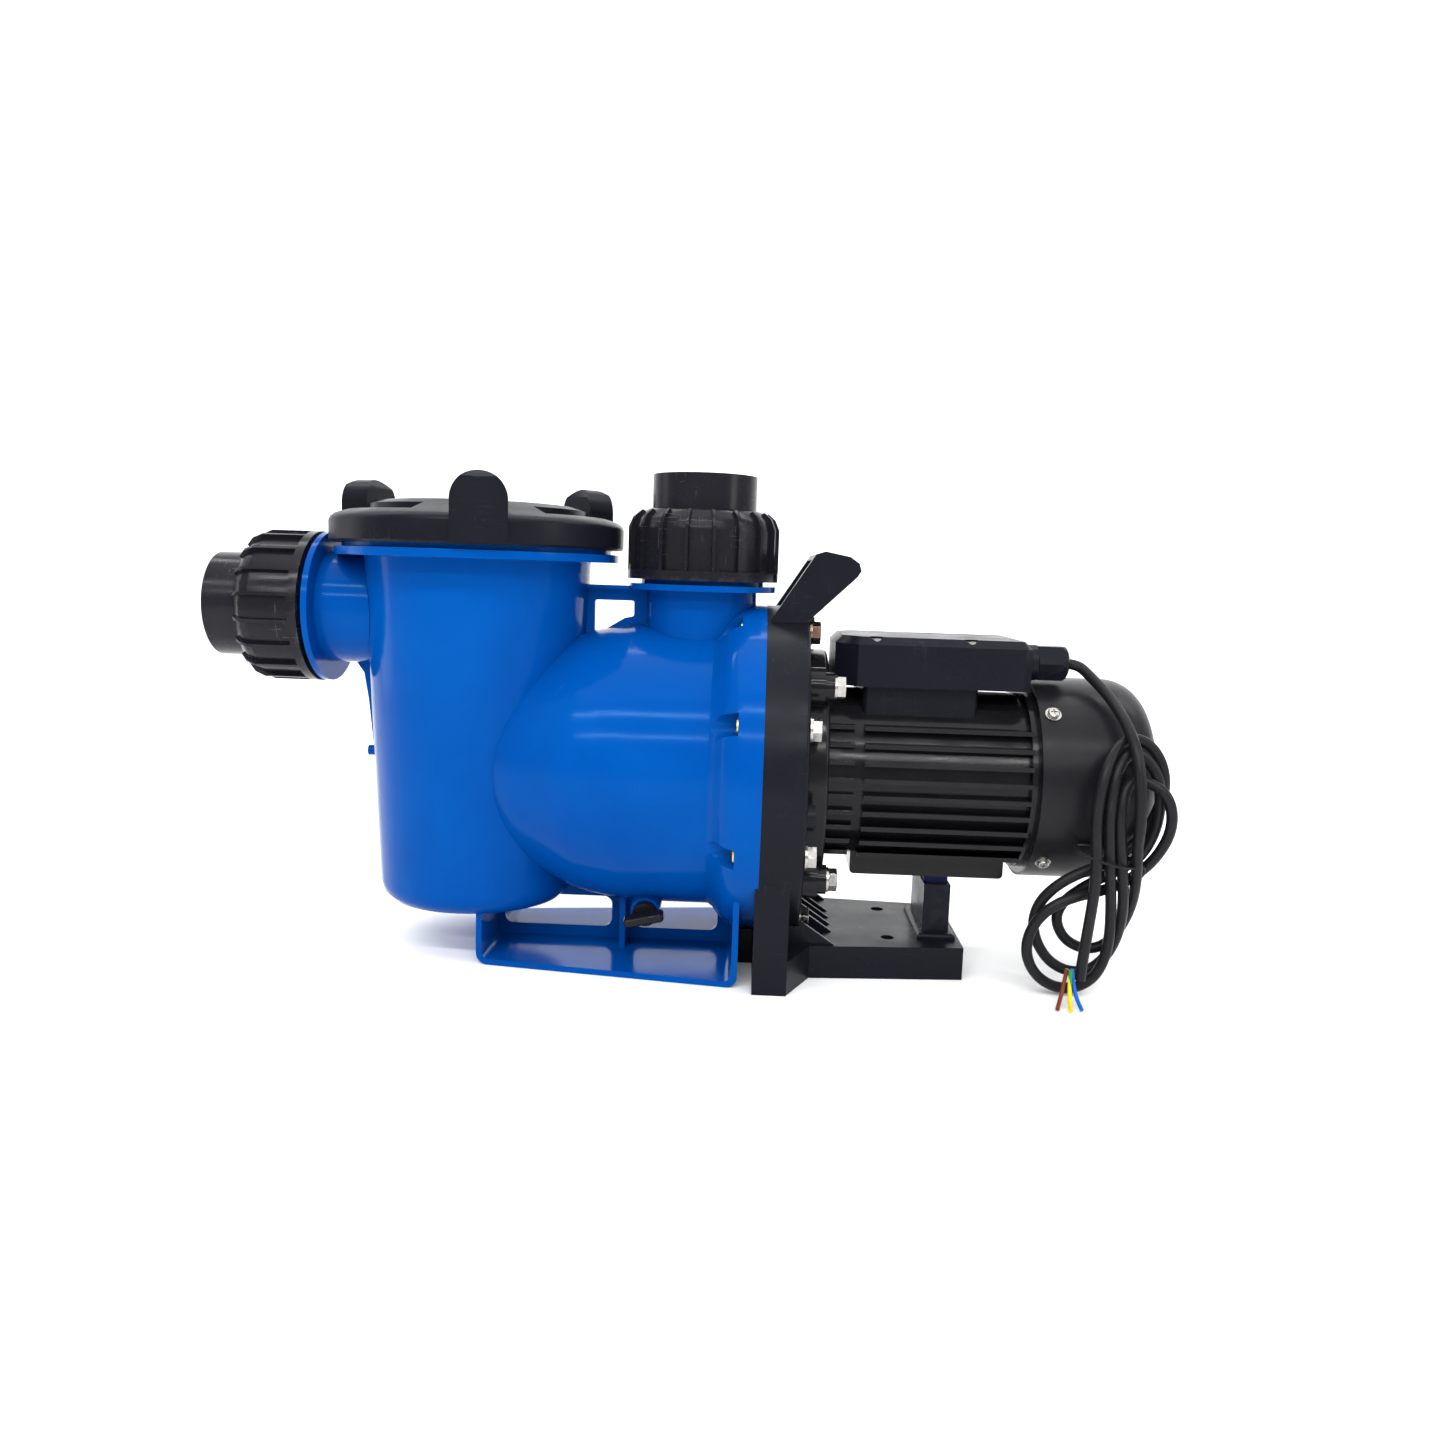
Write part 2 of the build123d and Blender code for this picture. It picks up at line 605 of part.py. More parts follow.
def make_casing_fasteners():
    bolt = joined(
        hexagon_x(BOLT_HEAD_AF, 0, BOLT_HEAD),
        rod_x(BOLT_SHANK, -(PLATE + WASHER + 14), 0.5),
    )
    bolt = Pos(PLATE + WASHER, 0, BOLT_CIRCLE_RADIUS) * bolt
    washer = tube_x(WASHER_RADIUS, BOLT_SHANK + 0.05, PLATE, PLATE + WASHER, 0, BOLT_CIRCLE_RADIUS)
    save("casing_bolts", Compound(around_x(bolt, CASING_BOLTS, 22.5)))
    save("casing_washers", Compound(around_x(washer, CASING_BOLTS, 22.5)))


# ---------------------------------------------------------------- motor
LUG_FACE = 44.0


def make_motor_flange():
    """Front end shield: flange disc, four bolted lugs and a ribbed bell."""
    disc = rod_x(MOTOR_FLANGE_RADIUS, MOTOR_FACE, MOTOR_FACE + MOTOR_FLANGE)
    disc = fillet(disc.edges().group_by(Axis.X)[-1], 3)
    lug = rod_x(12.5, MOTOR_FACE, MOTOR_FACE + 10, 0, MOTOR_LUG_CIRCLE)
    boss = rod_x(9.5, MOTOR_FACE, LUG_FACE, 0, MOTOR_LUG_CIRCLE)
    bell = rod_x(BARREL_RADIUS, 40, MOTOR_FRONT)
    bell_ribs = side_fins(40, MOTOR_FRONT - 3, 61.0)
    shield = without(
        joined(disc, *around_x(lug, 4, 45), *around_x(boss, 4, 45), bell, *bell_ribs),
        rod_x(17.52, 44, 55.1),
        rod_x(9.0, 20, 60),
        rod_x(FRAME_BORE, 55, 70),
        *around_x(rod_x(BOLT_HOLE, 20, 60, 0, MOTOR_LUG_CIRCLE), 4, 45),
    )
    save("motor_flange", shield)
    bolt = joined(hexagon_x(BOLT_HEAD_AF, 0, BOLT_HEAD), rod_x(3.35, -32, 0.5))
    bolt = Pos(LUG_FACE + WASHER, 0, MOTOR_LUG_CIRCLE) * bolt
    washer = tube_x(WASHER_RADIUS, BOLT_SHANK + 0.05, LUG_FACE, LUG_FACE + WASHER, 0, MOTOR_LUG_CIRCLE)
    save("flange_bolts", Compound(around_x(bolt, 4, 45)))
    save("flange_washers", Compound(around_x(washer, 4, 45)))


def side_fins(x0, x1, radius):
    """Horizontal cooling fins on both sides, inside a given radius."""
    fins = []
    for i in range(FINS):
        z = FIN_TOP - i * FIN_PITCH
        reach = sqrt(radius**2 - z**2)
        root = sqrt(BARREL_RADIUS**2 - z**2) - 3
        fins.append(block(x0, x1, root, reach, z - 1.5, z + 1.5))
        fins.append(block(x0, x1, -reach, -root, z - 1.5, z + 1.5))
    return fins


def make_motor_frame():
    barrel = rod_x(BARREL_RADIUS, MOTOR_FRONT, MOTOR_REAR)
    collar = tube_x(63.0, 50, MOTOR_REAR - 4.9, MOTOR_REAR)
    rail = fillet(block(MOTOR_FRONT, 168, -22, 22, -69, -50).edges().filter_by(Axis.Y), 3)
    frame = joined(barrel, collar, rail, *side_fins(MOTOR_FRONT + 3, MOTOR_REAR - 4, FIN_RADIUS))
    wire_hole = rod_z(12, 30, 70, 103)
    frame = without(frame, rod_x(FRAME_BORE, 50, 200), wire_hole)
    save("motor_frame", frame)


def make_motor_inside():
    slot = block(80, 150, -3, 3, 36, 50)
    core = tube_x(FRAME_BORE - 0.03, 33.0, 82, 142)
    save("stator_core", without(core, *around_x(slot, 24)))
    winding_front = tube_x(50, 36, 68, 81.9)
    winding_rear = tube_x(50, 36, 142.1, 158)
    save("stator_windings", Compound([winding_front, winding_rear]))
    save("rotor_core", tube_x(32.5, 10.0, 80, 144) + tube_x(28, 22, 74, 150))
    shaft = joined(
        rod_x(5.0, -34, -20),
        rod_x(7.0, -26, 43.5),
        rod_x(7.5, 43.5, 170),
        rod_x(9.97, 56, 160),
        rod_x(7.5, 160, 182),
        rod_x(6.0, 180, 240),
    )
    save("shaft", shaft)
    save("front_bearing", tube_x(17.5, 7.53, 44.05, 55.0))
    save("rear_bearing", tube_x(17.5, 7.53, 168, 179))


def make_rear_shield():
    rim = tube_x(COVER_RADIUS - COVER_WALL - 0.1, 56, MOTOR_REAR + SEAM, 193)
    plate = tube_x(60, 16, MOTOR_REAR + SEAM, 184)
    hub = rod_x(22, 164.5, 184) - rod_x(17.52, 160, 179.0)
    screw_hole = Pos(COVER_SCREW_X + 1.5, 0, 62) * Cylinder(1.7, 14)
    shield = without(
        joined(rim, plate, hub),
        rod_x(9.0, 150, 200),
        *around_x(screw_hole, 4, 45),
    )
    save("rear_end_shield", shield)


def make_fan():
    hub = rod_x(13, 206, 234)
    disc = tube_x(54, 10, 206, 208.5)
    blade = block(207, 230, -1.1, 1.1, 12, 54)
    save("fan", joined(hub, disc, *around_x(blade, 7)) - rod_x(6.03, 200, 240))


def make_fan_cover():
    """Deep drawn cover with a large rear radius and a slotted grille."""
    solid = rod_x(COVER_RADIUS, MOTOR_REAR + SEAM, COVER_REAR)
    solid = fillet(solid.edges().group_by(Axis.X)[-1], 26)
    inside = rod_x(COVER_RADIUS - COVER_WALL, MOTOR_REAR - 5, COVER_REAR - COVER_WALL)
    inside = fillet(inside.edges().group_by(Axis.X)[-1], 24.5)
    cover = solid - inside
    slots = []
    for ring_index, (radius, count) in enumerate(((14, 6), (24, 10), (34, 14))):
        hole = Pos(COVER_REAR, 0, radius) * (Rot(0, 90, 0) * SlotOverall(8.0, 4.4))
        slots += around_x(extrude(hole, 8, both=True), count, ring_index * 8)
    screw_hole = Pos(COVER_SCREW_X + 1.5, 0, 68) * Cylinder(2.1, 10)
    save("fan_cover", without(cover, *slots, *around_x(screw_hole, 4, 45)))
    head = joined(
        Pos(0, 0, COVER_RADIUS + 1.0) * fillet(Cylinder(3.8, 2.6, align=(Align.CENTER,) * 2 + (Align.MIN,))
                                               .edges().group_by(Axis.Z)[-1], 1.2),
        Pos(0, 0, 64) * Cylinder(1.65, 13),
    )
    recess = Pos(0, 0, COVER_RADIUS + 3.2) * (Box(4.2, 0.9, 1.6) + Box(0.9, 4.2, 1.6))
    screw = Pos(COVER_SCREW_X + 1.5, 0, 0) * (head - recess)
    washer = Pos(COVER_SCREW_X + 1.5, 0, 0) * (tube_z(5.2, 1.75, COVER_RADIUS - 0.8, COVER_RADIUS + 0.97))
    washer = washer - rod_x(COVER_RADIUS + 0.02, 170, 200)
    save("fan_cover_screws", Compound(around_x(screw, 4, 45)))
    save("fan_cover_washers", Compound(around_x(washer, 4, 45)))


# ---------------------------------------------------------------- terminal box, gland and cord
def make_terminal_box():
    base = block(BOX_LEFT, BOX_RIGHT, -BOX_HALF, BOX_HALF, 34, BOX_SPLIT)
    base = fillet(base.edges().filter_by(Axis.Z), 4)
    cavity = block(BOX_LEFT + 3, BOX_RIGHT - 3, -BOX_HALF + 3, BOX_HALF - 3, 60, BOX_SPLIT + 1)
    base = without(
        base,
        cavity,
        rod_x(BARREL_RADIUS + SEAM, 0, 200),
        *side_fin_clearance(),
        rod_z(10, 40, 70, 103),
    )
    save("terminal_box_base", base.solids().sort_by(SortBy.VOLUME)[-1])

    half = BOX_COVER_HALF
    plan = make_face(
        Polyline((LID_LEFT, -half + 14), (LID_LEFT + 14, -half), (LID_RIGHT - 5, -half),
                 (LID_RIGHT, -half + 5), (LID_RIGHT, half - 5), (LID_RIGHT - 5, half),
                 (LID_LEFT + 14, half), (LID_LEFT, half - 14),
                 close=True)
    )
    cover = extrude(Pos(0, 0, BOX_SPLIT + SEAM) * plan, BOX_TOP - BOX_SPLIT - SEAM)
    cover = chamfer(cover.edges().group_by(Axis.Z)[-1], 5)
    hollow_plan = offset(plan, -3, kind=Kind.INTERSECTION)
    hollow = extrude(Pos(0, 0, BOX_SPLIT - 1) * hollow_plan, BOX_TOP - BOX_SPLIT - 6)
    lip = block(BOX_RIGHT, LID_RIGHT + 1, -half - 1, half + 1, BOX_SPLIT - 1, BOX_SPLIT + 3)
    floor_plate = extrude(Pos(0, 0, BOX_SPLIT + SEAM) * plan, 3) & lip
    cover = without(cover, hollow)
    cover = joined(cover, floor_plate)
    cover = without(
        cover,
        rod_x(8.3, LID_RIGHT - 10, LID_RIGHT + 5, GLAND_Y, GLAND_Z),
        *[rod_z(2.2, 70, 100, x, y) for x in (72, 134) for y in (-38.5, 38.5)],
        *[rod_z(4.4, BOX_TOP - 4, 100, x, y) for x in (72, 134) for y in (-38.5, 38.5)],
    )
    save("terminal_box_cover", cover)
    head = Pos(0, 0, BOX_TOP - 2.6) * Cylinder(4.0, 2.6)
    screw = joined(head, Pos(0, 0, BOX_TOP - 12) * Cylinder(2.0, 20))
    recess = Pos(0, 0, BOX_TOP - 1.6) * (Box(4.4, 1.0, 1.6) + Box(1.0, 4.4, 1.6))
    screws = [Pos(x, y, 0) * (screw - recess) for x in (72, 134) for y in (-38.5, 38.5)]
    save("terminal_cover_screws", Compound(screws))
    terminals = block(80, 126, -30, -12, 60.03, 74)
    grooves = [block(84 + i * 8, 88 + i * 8, -31, -11, 68, 75) for i in range(5)]
    save("terminal_block", without(terminals, *grooves))
    save("capacitor", fillet(rod_x(12.0, 72, 132, 16, 74).edges().group_by(Axis.X)[0], 1.5))


def side_fin_clearance():
    return [fin for fin in side_fins(MOTOR_FRONT, MOTOR_REAR, FIN_RADIUS + SEAM) if fin.center().Z > 30]


def make_gland():
    """Compression gland on the rear face of the terminal box."""
    place = Pos(0, GLAND_Y, GLAND_Z)
    body = joined(
        rod_x(8.2, LID_RIGHT - 9, LID_RIGHT + 12),
        rod_x(12.0, LID_RIGHT, LID_RIGHT + 6),
    )
    bore = rod_x(CORD_DIAMETER / 2 + 1.4, LID_RIGHT - 12, LID_RIGHT + 30)
    save("gland_body", place * (body - bore))
    seal = tube_x(8.2, CORD_DIAMETER / 2, LID_RIGHT + 12.1, GLAND_EXIT - 4)
    save("gland_seal", place * seal)
    nut = hexagon_x(22.5, LID_RIGHT + 6.3, GLAND_EXIT)
    dome = turned_x((170, 0), (170, 12.9), (GLAND_EXIT - 5, 12.9), (GLAND_EXIT - 1.5, 11), (GLAND_EXIT, 8.5),
                    (GLAND_EXIT, 0))
    nut = (nut & dome) - rod_x(8.2 + GAP, LID_RIGHT, GLAND_EXIT - 3.7)
    save("gland_nut", place * (nut - rod_x(CORD_DIAMETER / 2 + GAP, 170, 210)))


def lead_route():
    """Centre line of the lead from inside the gland to the hank."""
    return [
        (188, -22, 80.5), (205, -22, 80.5), (221.4, -27, 75.8), (233.5, -36.8, 66.8), (239.3, -49, 54.6),
        (238.6, -61.5, 40.5), (237.4, -72.5, 22.5), (236, -81.5, 3.5),
    ]


def tail_route():
    """Centre line of the free end from the tied waist to the end of the sheath."""
    return [(213, -82, -44), (210, -91.5, -63), (205, -89.5, -86), (200, -85, -110)]


HANK_DEPTH = 22.0
HANK_LEAN = 9.2


def hank_plane():
    """The leaning plane of the hank: X across, local Y upwards."""
    lean = radians(HANK_LEAN)
    return Plane(origin=(0, -81.2, 0), x_dir=(1, 0, 0), z_dir=(0, -cos(lean), -sin(lean)))


def make_cord():
    save("cord_lead", cord_tube(CORD_DIAMETER / 2, *lead_route()))
    outline = Polyline(
        (206, -36), (207, 0), (219, 34), (244, 42), (258, 22), (258, -6), (237, -38),
        (238, -72), (222, -112), (200, -130), (180, -126), (168, -98), (177, -64), close=True,
    )
    slab = extrude(hank_plane() * make_face(outline), HANK_DEPTH / 2, both=True)
    slab = fillet(slab.edges().filter_by(lambda e: abs(e.tangent_at(0.5).X) < 0.2 and
                                         abs(e.tangent_at(0.5).Y) > 0.9), 6)
    slab = without(slab, block(100, 300, -200, 0, FLOOR - 20, FLOOR))
    save("cord_hank", slab)
    tie_outer = hank_plane() * Pos(221.5, -37, 0) * Rot(0, 0, -12)
    tie = tie_outer * (Box(38.5, 2.4, 27.5) - Box(34.5, 4, 23.5))
    save("cord_tie", without(tie, slab))
    save("cord_tail", cord_tube(CORD_DIAMETER / 2, *tail_route()))
    end = tail_route()[-1]
    for name, side, front in (("brown", -1, 0.9), ("yellow_green", 0, -1.8), ("blue", 1, 0.9)):
        x, y, z = end[0] + side * 1.6, end[1] + front, end[2] + 0.6
        route = [
            (x, y, z),
            (x - 0.3 + side * 0.9, y - 0.6, z - 7.0),
            (x - 0.9 + side * 2.4, y - 4.0, z - 13.6),
            (x - 1.8 + side * 4.2, y - 9.6, z - 18.2),
            (x - 3.0 + side * 6.0, y - 16.4, z - 20.6),
        ]
        save("conductor_" + name, cord_tube(CORE_DIAMETER / 2, *route))


# ---------------------------------------------------------------- build and write
make_strainer_pot()
make_suction_neck()
make_volute_casing()
make_discharge_neck()
make_top_web()
make_pump_foot()
make_unions()
make_lid()
make_basket()
make_drain()
make_wet_end()
make_motor_bracket()
make_bracket_handle()
make_motor_base()
make_casing_fasteners()
make_motor_flange()
make_motor_frame()
make_motor_inside()
make_rear_shield()
make_fan()
make_fan_cover()
make_terminal_box()
make_gland()
make_cord()

os.makedirs("parts", exist_ok=True)
for name, piece in nodes.items():
    export_step(Pos(ORIGIN_SHIFT_X, 0, AXIS_HEIGHT) * piece, "parts/" + name + ".step")
print(len(nodes), "nodes")
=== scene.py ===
"""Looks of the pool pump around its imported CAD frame: materials, mains lead, studio and camera."""

import json
from math import cos, pi, radians, sin

import bpy
from mathutils import Matrix, Vector


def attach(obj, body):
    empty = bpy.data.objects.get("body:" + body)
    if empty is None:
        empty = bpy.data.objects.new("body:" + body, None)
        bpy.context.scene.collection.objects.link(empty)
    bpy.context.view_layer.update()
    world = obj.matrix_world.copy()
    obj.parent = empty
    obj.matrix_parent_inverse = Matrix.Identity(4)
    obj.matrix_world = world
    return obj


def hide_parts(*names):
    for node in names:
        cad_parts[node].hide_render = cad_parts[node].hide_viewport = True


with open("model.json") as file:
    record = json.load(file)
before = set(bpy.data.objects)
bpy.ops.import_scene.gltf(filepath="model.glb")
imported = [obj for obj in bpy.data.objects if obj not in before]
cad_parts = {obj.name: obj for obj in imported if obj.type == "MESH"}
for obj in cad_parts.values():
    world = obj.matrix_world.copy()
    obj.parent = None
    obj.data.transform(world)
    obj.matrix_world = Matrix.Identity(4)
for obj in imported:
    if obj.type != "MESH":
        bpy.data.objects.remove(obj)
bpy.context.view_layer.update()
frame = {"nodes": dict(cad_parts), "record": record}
nodes = frame["nodes"]
scene = bpy.context.scene

# ---------------------------------------------------------------- camera
IMAGE = 1445                                    # side of the square picture, in pixels
FOCAL_PX = 1137.4
SENSOR_MM = 36.0
CAMERA_PLACE = Vector((0.0500, -0.7871, 0.2668))
YAW, PITCH, ROLL = -0.0236, 0.1330, 0.0330      # radians; the camera looks along +Y and a little down


def make_camera():
    """The photograph's own camera, fitted to the pump."""
    data = bpy.data.cameras.new("studio_camera")
    data.sensor_width = SENSOR_MM
    data.lens = FOCAL_PX / IMAGE * SENSOR_MM
    data.clip_start, data.clip_end = 0.05, 50.0
    camera = bpy.data.objects.new("studio_camera", data)
    scene.collection.objects.link(camera)
    ahead = Vector((sin(YAW) * cos(PITCH), cos(YAW) * cos(PITCH), -sin(PITCH)))
    level = Vector((cos(YAW), -sin(YAW), 0))
    upward = level.cross(ahead)
    right = level * cos(ROLL) + upward * sin(ROLL)
    up = upward * cos(ROLL) - level * sin(ROLL)
    turn = Matrix((right, up, -ahead)).transposed()
    camera.matrix_world = Matrix.Translation(CAMERA_PLACE) @ turn.to_4x4()
    scene.camera = camera


make_camera()

# ---------------------------------------------------------------- mains lead
CORD_DIAMETER = 0.007
# Out of the gland, down in front of the fan cover, three turns of a tied hank, then the bare end.
CORD_ROUTE = [
    (0.2585, -0.0220, 0.2125), (0.2675, -0.0220, 0.2124), (0.2740, -0.0290, 0.2059),
    (0.2835, -0.0460, 0.1934), (0.2886, -0.0680, 0.1789), (0.2914, -0.0840, 0.1630),
    (0.2937, -0.0900, 0.1409), (0.2948, -0.0900, 0.1189), (0.2966, -0.0825, 0.1022),
    (0.2984, -0.0790, 0.0905), (0.3002, -0.0742, 0.0766), (0.3012, -0.0674, 0.0626),
    (0.2992, -0.0604, 0.0474), (0.2937, -0.0569, 0.0350), (0.2850, -0.0551, 0.0274),
    (0.2731, -0.0551, 0.0272), (0.2616, -0.0562, 0.0341), (0.2551, -0.0584, 0.0474),
    (0.2584, -0.0603, 0.0592), (0.2679, -0.0629, 0.0688), (0.2778, -0.0667, 0.0768),
    (0.2890, -0.0690, 0.0839), (0.3004, -0.0700, 0.0910), (0.3073, -0.0718, 0.1024),
    (0.3109, -0.0743, 0.1173), (0.3107, -0.0763, 0.1333), (0.3072, -0.0777, 0.1482),
    (0.3004, -0.0744, 0.1586), (0.2886, -0.0749, 0.1616), (0.2801, -0.0817, 0.1509),
    (0.2776, -0.0846, 0.1345), (0.2778, -0.0834, 0.1172), (0.2801, -0.0808, 0.0980),
    (0.2828, -0.0778, 0.0800), (0.2857, -0.0746, 0.0601), (0.2872, -0.0715, 0.0407),
    (0.2852, -0.0710, 0.0250), (0.2791, -0.0710, 0.0125), (0.2680, -0.0708, 0.0052),
    (0.2547, -0.0708, 0.0050), (0.2424, -0.0709, 0.0120), (0.2350, -0.0708, 0.0241),
    (0.2345, -0.0716, 0.0385), (0.2403, -0.0733, 0.0522), (0.2505, -0.0744, 0.0618),
    (0.2635, -0.0732, 0.0671), (0.2777, -0.0690, 0.0694), (0.2918, -0.0673, 0.0740),
    (0.3037, -0.0692, 0.0830), (0.3120, -0.0754, 0.0960), (0.3166, -0.0815, 0.1118),
    (0.3159, -0.0844, 0.1267), (0.3105, -0.0843, 0.1384), (0.3027, -0.0800, 0.1435),
    (0.2943, -0.0779, 0.1458), (0.2866, -0.0799, 0.1398), (0.2844, -0.0837, 0.1284),
    (0.2847, -0.0837, 0.1160), (0.2868, -0.0813, 0.1016), (0.2896, -0.0787, 0.0853),
    (0.2923, -0.0763, 0.0705), (0.2938, -0.0723, 0.0549), (0.2937, -0.0662, 0.0392),
    (0.2891, -0.0623, 0.0246), (0.2798, -0.0601, 0.0140), (0.2666, -0.0597, 0.0120),
    (0.2533, -0.0602, 0.0182), (0.2437, -0.0618, 0.0307), (0.2390, -0.0641, 0.0452),
    (0.2416, -0.0659, 0.0597), (0.2507, -0.0679, 0.0715), (0.2623, -0.0687, 0.0796),
    (0.2749, -0.0692, 0.0853), (0.2873, -0.0698, 0.0927), (0.2990, -0.0675, 0.1005),
    (0.3083, -0.0657, 0.1113), (0.3133, -0.0676, 0.1261), (0.3154, -0.0700, 0.1408),
    (0.3116, -0.0699, 0.1562), (0.3035, -0.0677, 0.1672), (0.2919, -0.0672, 0.1706),
    (0.2791, -0.0761, 0.1630), (0.2713, -0.0857, 0.1475), (0.2690, -0.0854, 0.1297),
    (0.2695, -0.0841, 0.1124), (0.2717, -0.0823, 0.0949), (0.2724, -0.0818, 0.0791),
    (0.2712, -0.0822, 0.0634), (0.2695, -0.0827, 0.0476), (0.2678, -0.0829, 0.0301),
    (0.2668, -0.0825, 0.0151)
]


def nurbs(name, points, radius, resolution=10, cyclic=False):
    """A smooth round tube along a quadratic spline with these control points.

    The radius sits on the points, so that the curve's own bounds are true.
    """
    curve = bpy.data.curves.new(name, "CURVE")
    curve.dimensions = "3D"
    curve.resolution_u = resolution
    curve.bevel_depth = 1.0
    curve.bevel_resolution = 6
    curve.use_fill_caps = not cyclic
    spline = curve.splines.new("NURBS")
    spline.points.add(len(points) - 1)
    for spot, place in zip(spline.points, points):
        spot.co = (*place, 1.0)
        spot.radius = radius
    spline.use_cyclic_u = cyclic
    spline.order_u = 3
    spline.use_endpoint_u = not cyclic
    piece = bpy.data.objects.new(name, curve)
    scene.collection.objects.link(piece)
    return piece


mains_lead = nurbs("mains_lead", CORD_ROUTE, CORD_DIAMETER / 2)
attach(mains_lead, "pump")
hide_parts("cord_lead", "cord_hank", "cord_tail")


# ---------------------------------------------------------------- wire tie around the hank
TIE_CENTRE = Vector((0.2802, -0.0733, 0.0944))
TIE_ACROSS = Vector((0.975, 0.02, -0.22)).normalized()
TIE_ALONG = Vector((0.06, -0.96, -0.22)).normalized()
TIE_HALF_WIDE, TIE_HALF_DEEP = 0.0205, 0.0135
TIE_WIRE, TWIST_WIRE = 0.0009, 0.0011          # radii
TIE_POINTS = 16
TWIST_FOOT = TIE_CENTRE + TIE_ACROSS * 0.0195 + TIE_ALONG * 0.003
TWIST_STEPS = (
    (0, 0, 0), (0.0022, -0.0016, 0.0004), (0.0042, -0.0004, -0.0012), (0.0052, 0.0016, -0.0032),
    (0.0046, 0.0006, -0.0056), (0.0030, -0.0008, -0.0068),
)


def tie_loop():
    """Control points of the flat oval loop that holds the strands together."""
    points = []
    for i in range(TIE_POINTS):
        turn = 2 * pi * i / TIE_POINTS
        points.append(
            TIE_CENTRE + TIE_ACROSS * (TIE_HALF_WIDE * cos(turn)) + TIE_ALONG * (TIE_HALF_DEEP * sin(turn))
        )
    return points


tie = nurbs("cord_wire_tie", tie_loop(), TIE_WIRE, 8, True)
tie_end = nurbs("cord_wire_tie_twist", [TWIST_FOOT + Vector(step) for step in TWIST_STEPS], TWIST_WIRE, 8)
for part in (tie, tie_end):
    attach(part, "pump")
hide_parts("cord_tie")


# ---------------------------------------------------------------- materials
class Shader:
    """A Principled material with helpers for procedural detail in object space, in metres."""

    def __init__(self, name, colour, rough, metallic=0.0, coat=0.0, specular=0.14, ior=1.5):
        self.material = bpy.data.materials.new(name)
        self.material.use_nodes = True
        self.tree = self.material.node_tree
        self.bsdf = self.tree.nodes["Principled BSDF"]
        self.place = self.tree.nodes.new("ShaderNodeTexCoord").outputs["Object"]
        self.set("Base Color", (*colour, 1.0))
        self.set("Roughness", rough)
        self.set("Metallic", metallic)
        self.set("Coat Weight", coat)
        self.set("Coat Roughness", 0.12)
        self.set("Specular IOR Level", specular)
        self.set("IOR", ior)
        self.normal = None

    def set(self, socket, value):
        self.bsdf.inputs[socket].default_value = value

    def add(self, kind, **values):
        node = self.tree.nodes.new(kind)
        for key, value in values.items():
            if key.startswith("in_"):
                node.inputs[key[3:].replace("_", " ")].default_value = value
            else:
                setattr(node, key, value)
        return node

    def link(self, source, target):
        self.tree.links.new(source, target)

    def stretched(self, scale):
        node = self.add("ShaderNodeMapping")
        node.inputs["Scale"].default_value = scale
        self.link(self.place, node.inputs["Vector"])
        return node.outputs["Vector"]

    def noise(self, scale, detail=3.0, stretch=None, distortion=0.0):
        node = self.add("ShaderNodeTexNoise", in_Scale=scale, in_Detail=detail, in_Distortion=distortion)
        self.link(self.stretched(stretch) if stretch else self.place, node.inputs["Vector"])
        return node.outputs["Fac"]

    def band(self, source, low, high, out_low, out_high):
        node = self.add("ShaderNodeMapRange")
        for key, value in (("From Min", low), ("From Max", high), ("To Min", out_low), ("To Max", out_high)):
            node.inputs[key].default_value = value
        self.link(source, node.inputs["Value"])
        return node.outputs["Result"]

    def mix(self, factor, below, above):
        """Mixes two colours, each a tuple or a socket."""
        node = self.add("ShaderNodeMix", data_type="RGBA")
        self.link(factor, node.inputs[0])
        for socket, value in ((node.inputs[6], below), (node.inputs[7], above)):
            if isinstance(value, tuple):
                socket.default_value = (*value, 1.0)
            else:
                self.link(value, socket)
        return node.outputs[2]

    def calc(self, operation, first, second):
        node = self.add("ShaderNodeMath", operation=operation)
        for socket, value in zip(node.inputs, (first, second)):
            if isinstance(value, (int, float)):
                socket.default_value = value
            else:
                self.link(value, socket)
        return node.outputs[0]

    def bump(self, height, strength, distance):
        node = self.add("ShaderNodeBump", in_Strength=strength, in_Distance=distance)
        self.link(height, node.inputs["Height"])
        if self.normal is not None:
            self.link(self.normal, node.inputs["Normal"])
        self.normal = node.outputs["Normal"]
        self.link(self.normal, self.bsdf.inputs["Normal"])

    def colour(self, socket):
        self.link(socket, self.bsdf.inputs["Base Color"])

    def rough(self, socket):
        self.link(socket, self.bsdf.inputs["Roughness"])

    def scratches(self, amount, seed_shift):
        """Thin broken hairlines in two directions, 0 to amount."""
        lines = []
        for turn in ((1.0, 0.12, 0.05), (0.08, 0.2, 1.0)):
            fine = self.noise(900.0 + seed_shift, 2.0, turn, 0.6)
            lines.append(self.band(fine, 0.655, 0.68, 0.0, 1.0))
        where = self.band(self.noise(22.0 + seed_shift * 0.1, 2.0), 0.5, 0.66, 0.0, amount)
        return self.calc("MULTIPLY", self.calc("MAXIMUM", *lines), where)

    def edges(self, low, high):
        """Worn convex edges from the geometry."""
        node = self.add("ShaderNodeNewGeometry")
        return self.band(node.outputs["Pointiness"], low, high, 0.0, 1.0)


